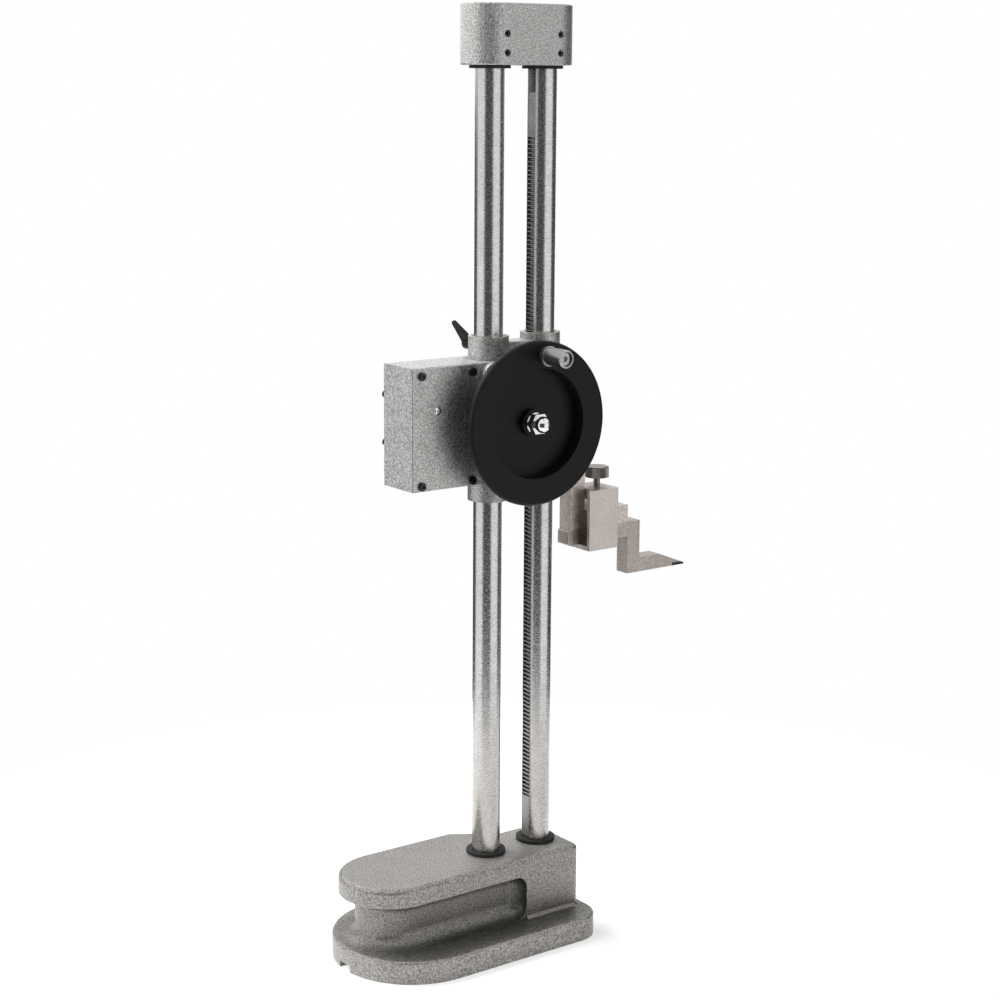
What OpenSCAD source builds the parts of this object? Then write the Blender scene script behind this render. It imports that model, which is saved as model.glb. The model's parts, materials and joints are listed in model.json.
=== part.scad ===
// Dial height gauge: a cast base with two columns, a slider cranked along a rack,
// a dial with two millimetre counters on the reading side, and a clamped scriber.
// X points to the scriber, -Y to the crank wheel and Z up. The origin lies on the
// base's underside, midway between the two columns.

/* [Base casting] */
// Height of the casting, from its ground underside to the top
base_h = 65; // [60:1:75]
// Thickness of the foot flange
foot_t = 17; // [14:1:20]
// Radius of the foot's round end, half the width of the foot
foot_r = 60; // [57:1:66]
// Centre line of the foot, from the plane of the columns
foot_mid_y = 5.5; // [3:0.5:8]
// Distance of the foot's round end centre behind the columns
foot_back = 85; // [80:1:95]
// Distance of the foot's front face ahead of the columns' middle
foot_front = 49; // [48.5:0.5:55]
// Radius of the foot's two front corners
foot_corner_r = 22; // [10:1:30]
// Rounding of the foot's upper edge
foot_edge_r = 2; // [1:0.5:2]
// Radius of the hand block's round end, half the width of the block
block_r = 38.5; // [36:0.5:41]
// Centre line of the hand block, from the plane of the columns
block_mid_y = 9; // [7:0.5:11]
// Distance of the block's round end centre behind the columns
block_back = 102.5; // [90:0.5:105]
// Distance of the block's front face ahead of the columns' middle
block_front = 43.5; // [40:0.5:45]
// Far face of the neck that carries the columns
neck_far_y = 25.5; // [22:0.5:30]
// Where the far side starts to slope in to the neck, behind the columns' middle
shoulder_back = 26; // [20:1:40]
// Where that slope reaches the neck, ahead of the columns' middle
shoulder_front = 8.5; // [4:0.5:14]
// Size of the chamfer on the neck's far front corner, along X
neck_chamfer_x = 15.5; // [8:0.5:20]
// Size of the same chamfer, along Y
neck_chamfer_y = 22.5; // [8:0.5:26]
// Rounding of the block's upper edge
block_edge_r = 4; // [2:0.5:6]
// Radius of the block's near front corner
block_corner_r = 6; // [3:0.5:10]
// Depth of the finger groove around the block
groove_depth = 12; // [9:0.5:14]
// Thickness of the lip above the finger groove
lip_t = 14; // [10:0.5:18]
// Fillet between the groove and the foot
groove_low_r = 11; // [6:0.5:12]
// Fillet between the groove and the lip
groove_up_r = 9; // [4:0.5:12]
// End of the groove on the near side, behind the columns' middle
groove_near_end = 6.5; // [2:0.5:12]
// End of the groove on the far side, behind the columns' middle
groove_far_end = 34; // [28:1:45]
// Fillet between the neck and the foot
cove_r = 3; // [1.5:0.5:3]
// Width of the relief channel in the underside
channel_w = 13; // [8:1:20]
// Height of the relief channel
channel_h = 5; // [3:0.5:7]
// Distance of the channel's closed end behind the columns
channel_back = 45; // [36:1:60]

/* [Columns and cap] */
// Diameter of both columns
column_d = 21; // [20:0.5:22]
// Distance between the column axes
column_pitch = 46.5; // [45:0.5:50]
// Free length of the columns, from the base to the cap
column_free = 581; // [560:1:700]
// Depth of the column sockets in the base
base_socket = 32; // [25:1:38]
// Depth of the column sockets in the cap
cap_socket = 34; // [25:1:36]
// Height of the cap
cap_h = 42.5; // [40:0.5:48]
// Wall of the cap around each column
cap_wall = 10.5; // [8:0.5:12]
// Rounding of the cap's edges
cap_edge_r = 1.2; // [0.5:0.1:2]
// Diameter of the cap's grub screws
grub_d = 5; // [4:1:6]
// Height of the lower pair of grub screws above the cap's underside
grub_low = 8.3; // [6:0.1:10]
// Distance between the two rows of grub screws
grub_gap = 13.1; // [8:0.1:16]
// Outer diameter of the rubber rings around the columns
ring_d = 29.4; // [26:0.1:32]
// Thickness of the rubber rings
ring_t = 2.3; // [1.5:0.1:3]
// Diameter of the screws that hold the columns from below
column_bolt_d = 10; // [8:1:10]

/* [Rack and gears] */
// Rack travel for one turn of the rack pinion
pinion_lead = 50; // [48:1:52]
// Teeth of the rack pinion
pinion_teeth = 16; // [16:1:18]
// Face width of the rack pinion
pinion_w = 8; // [6:0.5:8.5]
// Teeth of the gear on the crank shaft
crank_teeth = 12; // [12:1:14]
// Teeth of the gear that it drives
cross_teeth = 20; // [18:1:22]
// Face width of those two gears
crank_gear_w = 5; // [4:0.5:5.5]
// Teeth of the dial train's two wheels
train_wheel_teeth = 60; // [60:2:64]
// Teeth of the pinion on the middle arbor
train_pinion_teeth = 16; // [16:1:18]
// Teeth of the pinion on the hand arbor
hand_pinion_teeth = 15; // [15:1:17]
// Module of the dial train's first pair
train_module = 0.4; // [0.35:0.01:0.42]
// Face width of the dial train's wheels
train_w = 2; // [1.5:0.1:2.2]
// Slack between meshing teeth, along the pitch line
backlash = 0.16; // [0.1:0.01:0.3]
// Width of the rack slot milled in the front column
slot_w = 9; // [8.8:0.1:10]
// Depth of that slot
slot_depth = 6.3; // [6:0.1:7]
// Distance that the rack's teeth lie inside the column's surface line
rack_sink = 1.2; // [1.2:0.05:1.4]
// Distance of the rack's upper end below the cap
rack_top_gap = 19; // [15:1:30]
// Plain length at the rack's upper end
rack_plain = 29; // [20:1:32]
// Plain length at the rack's lower end
rack_foot = 30; // [20:1:40]

/* [Slider] */
// Height of the slider's bosses
slider_h = 120; // [116:1:126]
// Height of the slider's middle above the base's underside, as it stands
slider_mid_z = 395; // [340:1:450]
// Diameter of the slider's bosses
boss_d = 29.4; // [28.6:0.2:31]
// Wall of the bronze guide bushes
bush_wall = 1.9; // [1.5:0.1:2]
// Length of each guide bush
bush_l = 16; // [12:1:20]
// Clearance of a shaft or column in its bush, on radius
run_gap = 0.05; // [0.03:0.01:0.08]
// Room between the crank shaft and the rear column that it passes
shaft_room = 1.04; // [0.6:0.02:1.6]
// Rear face of the slider's block behind the columns' middle
body_back = 44; // [42:0.5:46]
// Half width of the slider's block across the columns' plane
body_half_y = 19; // [18.5:0.5:20]
// Distance that the block's front stands out towards the wheel
front_proud = 5.4; // [3:0.2:5.6]
// Radius of the corners of that raised front
front_corner_r = 9.5; // [6:0.5:12]
// Distance of the web's top below the boss's upper end
web_up = 5; // [4:0.5:10]
// Thickness of the web between the bosses
web_t = 16; // [10:1:20]

/* [Crank wheel] */
// Diameter of the crank wheel
wheel_d = 119; // [112:1:122]
// Thickness of the wheel, from the rim's front face to its back
rim_t = 16.5; // [14:0.5:18]
// Distance of the rim's front face from the plane of the columns
wheel_face = 42.5; // [42:0.5:44]
// Diameter of the recess in the wheel
recess_d = 80; // [74:1:84]
// Depth of the recess
recess_depth = 10; // [8:0.5:11]
// Rounding of the rim's edges
rim_edge_r = 2.5; // [1:0.5:3]
// Thickness left at the rim's outer edge, where the wheel's back tapers to it
rim_edge_t = 4; // [3:0.5:6]
// Diameter of the flat on the wheel's back
wheel_back_d = 88; // [80:1:96]
// Diameter of the raised hub
hub_d = 19.6; // [18:0.2:22]
// Height of the hub above the recess floor
hub_h = 4.5; // [3:0.5:6]
// Radius at which the crank grip sits
crank_r = 48.8; // [47:0.1:50]
// Angle of the crank grip, from +X towards +Z
crank_angle = 83; // [0:1:359]
// Diameter of the crank grip
grip_d = 13; // [12:0.5:14]
// Length of the crank grip
grip_l = 23.5; // [20:0.5:30]
// Across flats of the wheel's domed nut
nut_af = 14; // [12:1:16]

/* [Counter box] */
// Length of the counter box behind the slider's block
box_l = 56.5; // [54:0.5:60]
// Height of the counter box
box_h = 87.5; // [84:0.5:90]
// Wall of the counter box
box_wall = 3; // [2:0.5:3]
// Thickness of its cover plate
cover_t = 2; // [1.5:0.5:3]
// Height of the upper counter above the box's middle
counter_up = 20.2; // [19:0.2:22]
// Depth of the lower counter below the box's middle
counter_down = 14.4; // [13:0.2:17]
// Diameter of the number wheels
drum_d = 17; // [15:0.5:17]
// Width of each number wheel
drum_w = 7.2; // [6:0.1:7.4]
// Diameter of the zero-set buttons
button_d = 5; // [4:0.5:5]
// Travel of the zero-set buttons
button_travel = 3; // [2:0.5:4]
// Height of a button above the box
button_proud = 9.5; // [7:0.5:11]

/* [Dial] */
// Outer diameter of the dial casing
casing_d = 67; // [65:0.5:69]
// Depth of the dial casing
casing_l = 16; // [15.5:0.5:18]
// Outer diameter of the bezel
bezel_d = 71; // [69.5:0.5:74]
// Thickness of the crystal
crystal_t = 1.8; // [1.5:0.1:2.5]
// Length of the hand, from the centre to its tip
hand_l = 25; // [20:0.5:27]

/* [Jaw and scriber] */
// Width of the jaw bar and of its upright, across
jaw_w = 13; // [11:0.5:14]
// Thickness of the jaw's upright, along X
jaw_t = 13.6; // [12:0.2:15]
// Rear face of the upright ahead of the columns' middle
jaw_x = 48.5; // [46:0.5:50]
// Reach of the jaw bar ahead of the upright's rear face
jaw_l = 56; // [52:0.5:60]
// Height of the jaw bar
jaw_h = 13.4; // [12:0.2:15]
// Height of the jaw's lower face below the slider's middle
jaw_drop = 91.8; // [88:0.2:96]
// Height of the scriber's shank
shank_h = 11.6; // [10:0.2:13]
// Width of the scriber
scriber_w = 12.6; // [11:0.2:13]
// Length of the scriber's shank, to the leg's front face
shank_l = 70; // [66:0.5:74]
// Distance of the shank's rear end ahead of the columns' middle
shank_x = 46.8; // [45:0.2:48]
// Thickness of the scriber's leg
leg_t = 12; // [10:0.2:14]
// Height of the leg below the shank's underside
leg_h = 29.1; // [26:0.1:32]
// Height of the scriber's nose
nose_h = 11.2; // [9:0.2:13]
// Length of the nose ahead of the leg
nose_l = 45.5; // [40:0.5:50]
// Length of the bevel to the scribing edge
bevel_l = 25; // [18:0.5:30]
// Length of the carbide tip
tip_l = 12; // [8:0.5:16]
// Length of the clamp frame along the scriber
clamp_l = 27.3; // [24:0.1:30]
// Distance of the clamp's rear face ahead of the columns' middle
clamp_x = 57.9; // [56:0.1:60]
// Width of the clamp frame
clamp_w = 36; // [32:0.5:38]
// Thickness of the clamp's side plates
clamp_side = 3; // [2.5:0.5:4]
// Thickness of the clamp's lower bar
clamp_low = 3.4; // [3:0.2:5]
// Thickness of the clamp's upper bridge
clamp_up = 8; // [6:0.5:10]
// Height of the clamp frame
clamp_h = 46; // [43:0.5:50]
// Place of the thumb screw ahead of the columns' middle
thumb_x = 78.6; // [72:0.2:80]
// Diameter of the thumb screw's knob
thumb_d = 18.3; // [16:0.1:20]
// Height of the knob
thumb_h = 7.6; // [6:0.2:10]

/* [Hidden] */
$fn = 64;
eps = 0.01;
span = 700;

column_r = column_d / 2;
half_pitch = column_pitch / 2;
cap_z = base_h + column_free;
top_z = cap_z + cap_h;
cap_r = column_r + cap_wall;
bolt_head_d = column_bolt_d * 1.6;
bolt_seat = column_bolt_d + 2;

block_near = block_mid_y - block_r;
block_far = block_mid_y + block_r;
groove_h = base_h - lip_t - foot_t;

boss_r = boss_d / 2;
slider_low = slider_mid_z - slider_h / 2;
slider_top = slider_mid_z + slider_h / 2;
bush_r = column_r + run_gap + bush_wall;

// Gears: pressure angle 20 degrees, stub teeth
addendum = 0.8;
dedendum = 1.05;
pinion_module = pinion_lead / pinion_teeth / PI;
rack_pitch = pinion_lead / pinion_teeth;
tooth_line = half_pitch - column_r + rack_sink;
rack_x = tooth_line + addendum * pinion_module;
cross_x = rack_x - pinion_lead / PI / 2;
shaft_thin_r = 2.5;
crank_x = column_r - half_pitch + shaft_thin_r + shaft_room;
gear_reach = cross_x - crank_x;
crank_module = 2 * gear_reach / (crank_teeth + cross_teeth);
cover_mid_x = (crank_x + cross_x) / 2;
gear_y1 = -12.5;
gear_y0 = gear_y1 - crank_gear_w;
gear_room = 1.2;
cross_r = 3;
shaft_r = 4;
cross_y1 = 17.5;
gear_cover_t = front_proud - 0.2;
gear_cover_r = 29;
gear_screw_places = [for (a = [90, 210, 330])
    [cover_mid_x + (gear_cover_r - 5) * cos(a), slider_mid_z + (gear_cover_r - 5) * sin(a)]];
thread_r = 1.5;
thread_hole = 1.7;
pan_head_r = 3.1;
pan_head_h = 2.1;
pan_shank_l = 9;

casing_r = casing_d / 2;
casing_wall = 2.5;
casing_floor = 2;
casing_y0 = body_half_y;
casing_y1 = casing_y0 + casing_l;
train_rise = train_module * (train_wheel_teeth + train_pinion_teeth) / 2;
hand_module = 2 * train_rise / (train_wheel_teeth + hand_pinion_teeth);
train_y0 = casing_y0 + casing_floor + 1;
train_y1 = train_y0 + train_w + 2;
arbor_r = 1.2;
bridge_t = 1.5;
bridge_y0 = casing_y1 - 4;
face_y0 = casing_y1 + 0.3;
face_t = 0.8;
hand_y0 = face_y0 + face_t + 1.6;
hand_t = 0.7;
crystal_y0 = hand_y0 + hand_t + 2.3;
bezel_y0 = casing_y1 - 2.2;
bezel_lip = 1.3;
bezel_y1 = crystal_y0 + crystal_t + bezel_lip;
crystal_r = casing_r - 1;

box_x0 = -body_back - box_l;
box_mid_z = slider_mid_z - 0.3;
box_z0 = box_mid_z - box_h / 2;
box_z1 = box_mid_z + box_h / 2;
box_y1 = body_half_y;
body_l = body_back + half_pitch + boss_r;
screw_inset = 6.6;
post_r = 4;
drum_r = drum_d / 2;
drum_gap = 0.5;
drum_y = box_y1 - box_wall - 1 - drum_r;
drums_w = 3 * drum_w + 2 * drum_gap;
drums_x = (box_x0 - body_back) / 2 + 2;
counter_z = [box_mid_z + counter_up, box_mid_z - counter_down];
drum_axle_r = 1.5;
button_x = box_x0 + box_wall + button_d / 2 + 1;
cover_screw_places = [for (x = [box_x0 + screw_inset, -body_back - screw_inset],
    z = [box_z0 + screw_inset - 2.5, box_z1 - screw_inset + 1]) [x, z]];
stud_place = [box_x0 + 19.4, box_mid_z + 13];

jaw_z0 = slider_mid_z - jaw_drop;
shank_z0 = jaw_z0 - shank_h;
leg_x1 = shank_x + shank_l;
leg_x0 = leg_x1 - leg_t;
scriber_z0 = shank_z0 - leg_h;
clamp_z0 = shank_z0 - clamp_low;
clamp_z1 = clamp_z0 + clamp_h;
thumb_gap = 6.2;

wheel_y1 = -wheel_face + rim_t;
floor_y = -wheel_face + recess_depth;
hub_y = floor_y - hub_h;
grip_x = crank_x + crank_r * cos(crank_angle);
grip_z = slider_mid_z + crank_r * sin(crank_angle);
grip_bore = 3;
pin_head_r = 4.6;
pin_head_h = 3;
lock_x = -half_pitch - 3.6;
lock_z = slider_top - 7.5;
lever_l = 20;
lever_angle = 120;
lever_lean = 22;

// Turns a shape drawn in X and Z, with its length along -Y
module along_y(y0, y1) {
    translate([0, y1, 0]) rotate([90, 0, 0]) linear_extrude(y1 - y0) children();
}

// A round bar along Y
module rod_y(x, z, r, y0, y1) {
    translate([x, y1, z]) rotate([90, 0, 0]) cylinder(r = r, h = y1 - y0);
}

// A turned shape whose axis runs along Y, drawn with its radius along x
// and its place along Y along y
module turned_y(x, z) {
    translate([x, 0, z]) rotate([-90, 0, 0]) rotate_extrude() children();
}

// What rounds an outer corner of radius r off, at the origin
module corner_off(r) {
    difference() {
        square(r + 1);
        circle(r);
    }
}

// The fillet that fills an inner corner of radius r, at the origin
module corner_fill(r) {
    difference() {
        square(r);
        translate([r, r]) circle(r);
    }
}

// Half section of a disc with a rounded upper edge
module slab_section(reach, height, r) {
    difference() {
        square([reach, height]);
        translate([reach - r, height - r]) corner_off(r);
    }
}

// A slab with straight sides from [x0, y0] to [x1, y1] and its upper edge rounded.
// Its two corners towards +X have radius `r`, its end towards -X is a half round.
module round_end_slab(x0, x1, y0, y1, height, r, edge) {
    end_r = (y1 - y0) / 2;
    translate([x0 + end_r, y0 + end_r, 0]) rotate([0, 0, 90]) rotate_extrude(angle = 180)
        slab_section(end_r, height, edge);
    translate([x0 + end_r, y0 + end_r, 0]) rotate([90, 0, 90]) linear_extrude(x1 - r - x0 - end_r) {
        slab_section(end_r, height, edge);
        mirror([1, 0]) slab_section(end_r, height, edge);
    }
    translate([x1 - r, y1 - r, 0]) rotate([90, 0, 0]) linear_extrude(y1 - y0 - 2 * r)
        slab_section(r, height, edge);
    translate([x1 - r, y0 + r, 0]) rotate([0, 0, -90]) rotate_extrude(angle = 90)
        slab_section(r, height, edge);
    translate([x1 - r, y1 - r, 0]) rotate_extrude(angle = 90) slab_section(r, height, edge);
}

// All that lies to the left of the line from p to q, its upper edge broken by flats
module wall_through(p, q, height, edge) {
    a = atan2(p[0] - q[0], q[1] - p[1]);
    reach = p[0] * cos(a) + p[1] * sin(a);
    rotate([0, 0, a]) rotate([90, 0, 0]) linear_extrude(2 * span, center = true)
        polygon(concat([[-span, 0], [reach, 0]], [for (t = [0:22.5:90])
            [reach - edge + edge * cos(t), height - edge + edge * sin(t)]], [[-span, height]]));
}

// Section of the form cutter that leaves the finger groove, from its axis outwards
module groove_section() {
    translate([0, foot_t]) difference() {
        square([groove_depth, groove_h]);
        translate([groove_depth, 0]) mirror([1, 0]) corner_fill(groove_low_r);
        translate([groove_depth, groove_h]) mirror([1, 0]) mirror([0, 1])
            corner_fill(groove_up_r);
    }
}

// One straight run of the groove with its round end, open towards -Y
module groove_run(x_end, length) {
    translate([x_end - groove_depth, 0, 0]) {
        rotate_extrude() groove_section();
        rotate([90, 0, -90]) linear_extrude(length) {
            mirror([1, 0]) groove_section();
            translate([-eps, foot_t]) square([1, groove_h]);
        }
    }
}

module foot() {
    round_end_slab(-foot_back - foot_r, foot_front, foot_mid_y - foot_r, foot_mid_y + foot_r,
        foot_t, foot_corner_r, foot_edge_r);
}

module hand_block() {
    shoulder = [-shoulder_back, block_far];
    neck = [shoulder_front, neck_far_y];
    chamfer_a = [block_front - neck_chamfer_x, neck_far_y];
    chamfer_b = [block_front, neck_far_y - neck_chamfer_y];
    difference() {
        intersection() {
            round_end_slab(-block_back - block_r, block_front, block_near, block_far,
                base_h, block_corner_r, block_edge_r);
            union() {
                wall_through(neck, shoulder, base_h, block_edge_r - 0.5);
                intersection() {
                    wall_through(chamfer_a, neck, base_h, block_edge_r - 1);
                    wall_through(chamfer_b, chamfer_a, base_h, block_edge_r - 0.5);
                }
            }
        }
        translate([-block_back, block_mid_y, 0]) rotate([0, 0, 90]) rotate_extrude(angle = 180)
            translate([block_r, 0]) {
                mirror([1, 0]) groove_section();
                translate([-eps, foot_t]) square([1, groove_h]);
            }
        translate([0, block_near, 0])
            groove_run(-groove_near_end, block_back - groove_near_end - groove_depth);
        translate([0, block_far, 0]) mirror([0, 1, 0])
            groove_run(-groove_far_end, block_back - groove_far_end - groove_depth);
    }
}

// Fillet where the neck's near and front faces rise from the foot
module neck_cove() {
    x1 = block_front - block_corner_r;
    y0 = block_near + block_corner_r;
    translate([x1, block_near, foot_t]) rotate([90, 0, -90])
        linear_extrude(x1 + groove_near_end) corner_fill(cove_r);
    translate([block_front, neck_far_y - neck_chamfer_y, foot_t]) rotate([90, 0, 0])
        linear_extrude(neck_far_y - neck_chamfer_y - y0) corner_fill(cove_r);
    translate([x1, y0, foot_t]) rotate([0, 0, -90]) rotate_extrude(angle = 90)
        translate([block_corner_r, 0]) corner_fill(cove_r);
}

module base_casting() {
    color("darkgray") difference() {
        union() {
            foot();
            hand_block();
            neck_cove();
        }
        for (side = [-1, 1]) translate([side * half_pitch, 0, 0]) {
            translate([0, 0, base_h - base_socket]) cylinder(r = column_r, h = base_socket + 1);
            cylinder(d = column_bolt_d + 1, h = base_h);
            translate([0, 0, -1]) cylinder(d = bolt_head_d + 2, h = bolt_seat + 1);
        }
        translate([-foot_back - foot_r - 1, foot_mid_y - channel_w / 2, -1])
            cube([foot_back + foot_r + 1 - channel_back, channel_w, channel_h + 1]);
    }
}

// A column with a threaded socket in its lower end
module column() {
    difference() {
        translate([0, 0, base_h - base_socket])
            cylinder(r = column_r, h = column_free + base_socket + cap_socket);
        translate([0, 0, base_h - base_socket - 1])
            cylinder(d = column_bolt_d, h = 2 * column_bolt_d + 1);
    }
}

module rear_column() {
    color("silver") translate([-half_pitch, 0, 0]) column();
}

// The front column has the slot for the rack, open at the top
module front_column() {
    color("silver") difference() {
        translate([half_pitch, 0, 0]) column();
        translate([half_pitch - column_r - 1, -slot_w / 2, base_h + ring_t + 1])
            cube([slot_depth + 1, slot_w, span]);
    }
}

// The rack: a flat bar with straight-sided teeth towards the slider's pinion
module rack() {
    z0 = base_h + ring_t + 1.5;
    z1 = cap_z - rack_top_gap;
    tip_x = rack_x - addendum * pinion_module;
    root_x = rack_x + dedendum * pinion_module;
    back_x = half_pitch - column_r + slot_depth;
    tip_w = (rack_pitch / 2 - backlash) / 2 - addendum * pinion_module * tan(20);
    root_w = (rack_pitch / 2 - backlash) / 2 + dedendum * pinion_module * tan(20);
    first = ceil((z0 + rack_foot - slider_mid_z) / rack_pitch);
    last = floor((z1 - rack_plain - slider_mid_z) / rack_pitch) - 1;
    teeth = [for (i = [first:last], step = [[root_x, -root_w], [tip_x, -tip_w], [tip_x, tip_w],
        [root_x, root_w]]) [step[0], slider_mid_z + (i + 0.5) * rack_pitch + step[1]]];
    low_z = teeth[0][1];
    high_z = teeth[len(teeth) - 1][1];
    color("lightsteelblue") along_y(-slot_w / 2, slot_w / 2)
        polygon(concat([[back_x, z0], [tip_x, z0], [tip_x, low_z - 1], [root_x, low_z - 1]],
            teeth, [[root_x, high_z + 1], [tip_x, high_z + 1], [tip_x, z1], [back_x, z1]]));
}

module column_ring(z) {
    for (side = [-1, 1]) translate([side * half_pitch, 0, z]) difference() {
        cylinder(d = ring_d, h = ring_t);
        translate([0, 0, -1]) cylinder(r = column_r, h = ring_t + 2);
    }
}

module base_rings() {
    color("dimgray") column_ring(base_h);
}

module cap_rings() {
    color("dimgray") column_ring(cap_z - ring_t);
}

// Half section of the cap, with both edges rounded
module cap_section() {
    difference() {
        square([cap_r, cap_h]);
        translate([cap_r - cap_edge_r, cap_h - cap_edge_r]) corner_off(cap_edge_r);
        translate([cap_r - cap_edge_r, cap_edge_r]) mirror([0, 1]) corner_off(cap_edge_r);
    }
}

module column_cap() {
    color("gainsboro") difference() {
        union() {
            for (side = [-1, 1]) translate([side * half_pitch, 0, cap_z])
                rotate([0, 0, -90 * side]) rotate_extrude(angle = 180) cap_section();
            translate([-half_pitch, 0, cap_z]) rotate([90, 0, 90]) linear_extrude(column_pitch) {
                cap_section();
                mirror([1, 0]) cap_section();
            }
        }
        for (side = [-1, 1]) {
            translate([side * half_pitch, 0, cap_z - 1]) cylinder(r = column_r, h = cap_socket + 1);
            for (row = [0, 1])
                rod_y(side * half_pitch, cap_z + grub_low + row * grub_gap, grub_d / 2, -span, 0);
        }
    }
}

module cap_grub_screws() {
    seat = sqrt(column_r * column_r - grub_d * grub_d / 4);
    color("dimgray") for (side = [-1, 1], row = [0, 1]) {
        z = cap_z + grub_low + row * grub_gap;
        x = side * half_pitch;
        difference() {
            rod_y(x, z, grub_d / 2, -cap_r + 0.8, -seat);
            translate([x, -cap_r, z]) rotate([-90, 0, 0]) cylinder(d = grub_d / 2, h = 3, $fn = 6);
            translate([x, 0, 0]) cylinder(r = column_r, h = span);
        }
    }
}

module column_bolts() {
    color("dimgray") for (side = [-1, 1]) translate([side * half_pitch, 0, 0]) difference() {
        union() {
            translate([0, 0, 2]) cylinder(d = bolt_head_d, h = bolt_seat - 2);
            translate([0, 0, bolt_seat - eps])
                cylinder(d = column_bolt_d, h = base_h - base_socket - bolt_seat + 1.6 * column_bolt_d);
        }
        translate([0, 0, 1]) cylinder(d = column_bolt_d * 0.92, h = column_bolt_d / 2 + 1, $fn = 6);
    }
}

// Involute of a pressure angle, in degrees
function involute(a) = tan(a) * 180 / PI - a;

// Half the angle that a tooth fills at radius r, in degrees
function half_tooth(r, pitch_r, base_r, teeth) =
    90 / teeth - backlash / 4 / pitch_r * 180 / PI + involute(20)
        - involute(r > base_r ? acos(base_r / r) : 0);

// Outline of a gear with involute flanks, with one tooth centred on +x
module gear_outline(teeth, module_mm, steps) {
    pitch_r = teeth * module_mm / 2;
    base_r = pitch_r * cos(20);
    tip_r = pitch_r + addendum * module_mm;
    root_r = pitch_r - dedendum * module_mm;
    low_r = max(base_r, root_r);
    flank = concat(base_r > root_r ? [root_r] : [],
        [for (i = [0:steps]) low_r + (tip_r - low_r) * i / steps]);
    last = len(flank) - 1;
    polygon([for (t = [0:teeth - 1], side = [-1, 1], i = [0:last])
        let (r = side < 0 ? flank[i] : flank[last - i],
            a = t * 360 / teeth + side * half_tooth(r, pitch_r, base_r, teeth))
        [r * cos(a), r * sin(a)]]);
}

// A spur gear on an axis along Y, bored for its shaft, and turned by `phase`
module spur_gear(x, z, teeth, module_mm, y0, y1, bore_r, phase, steps) {
    difference() {
        translate([x, 0, z]) along_y(y0, y1) rotate(phase) gear_outline(teeth, module_mm, steps);
        rod_y(x, z, bore_r, y0 - 1, y1 + 1);
    }
}

// Where gears turn inside the slider casting
module gear_pockets() {
    crank_tip = crank_module * (crank_teeth / 2 + addendum);
    cross_tip = crank_module * (cross_teeth / 2 + addendum);
    pinion_tip = pinion_module * (pinion_teeth / 2 + addendum);
    rod_y(crank_x, slider_mid_z, crank_tip + gear_room, -span, gear_y1 + 0.5);
    rod_y(cross_x, slider_mid_z, cross_tip + gear_room, -span, gear_y1 + 0.5);
    rod_y(cross_x, slider_mid_z, pinion_tip + gear_room / 2, -span, pinion_w / 2 + 0.5);
}

// The front of the block, which stands out towards the wheel with round corners
module raised_front() {
    y0 = -body_half_y - front_proud;
    r = front_corner_r;
    translate([r - body_back, y0, box_z0]) cube([body_l - 2 * r, front_proud + 1, box_h]);
    translate([-body_back, y0, box_z0 + r]) cube([body_l, front_proud + 1, box_h - 2 * r]);
    for (x = [r - body_back, body_l - body_back - r], z = [box_z0 + r, box_z1 - r])
        rod_y(x, z, r, y0, -body_half_y + 1);
}

module slider_casting() {
    lug_h = 58;
    color("gainsboro") difference() {
        union() {
            for (side = [-1, 1])
                translate([side * half_pitch, 0, slider_low]) cylinder(r = boss_r, h = slider_h);
            translate([-body_back, -body_half_y, box_z0])
                cube([body_l, 2 * body_half_y, box_h]);
            raised_front();
            translate([-half_pitch, -web_t / 2, slider_low + web_up])
                cube([column_pitch, web_t, slider_h - 2 * web_up]);
            translate([half_pitch, -jaw_w / 2 - 2.5, slider_mid_z - lug_h / 2 - 2])
                cube([jaw_x - half_pitch, jaw_w + 5, lug_h]);
        }
        for (side = [-1, 1]) translate([side * half_pitch, 0, 0]) {
            translate([0, 0, slider_low - 1]) cylinder(r = bush_r - bush_wall / 2, h = slider_h + 2);
            translate([0, 0, slider_low - 1]) cylinder(r = bush_r, h = bush_l + 1);
            translate([0, 0, slider_top - bush_l]) cylinder(r = bush_r, h = bush_l + 1);
        }
        gear_pockets();
        rod_y(cross_x, slider_mid_z, cross_r + run_gap, 0, cross_y1 + 0.3);
        rod_y(crank_x, slider_mid_z, shaft_thin_r + run_gap, 0, span);
        rod_y(crank_x, slider_mid_z, shaft_thin_r + 0.7, gear_y1 - 1, 10);
        rod_y(cover_mid_x, slider_mid_z, gear_cover_r, -span, -body_half_y);
        rod_y(lock_x, lock_z, 3.2, 0, span);
        for (p = gear_screw_places)
            rod_y(p[0], p[1], thread_r, -body_half_y - 1, -body_half_y + pan_shank_l);
        for (level = [-1, 1])
            translate([jaw_x + 1, 0, slider_mid_z - 2 + level * 16]) rotate([0, -90, 0])
                cylinder(r = 2.5, h = 9);
    }
}

// Bronze bushes at both ends of both bosses
module guide_bushes() {
    color("goldenrod") difference() {
        for (side = [-1, 1], z = [slider_low, slider_top - bush_l])
            translate([side * half_pitch, 0, z]) difference() {
                cylinder(r = bush_r, h = bush_l);
                translate([0, 0, -1]) cylinder(r = column_r + run_gap, h = bush_l + 2);
            }
        rod_y(lock_x, lock_z, 3.2, 0, span);
    }
}

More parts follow.
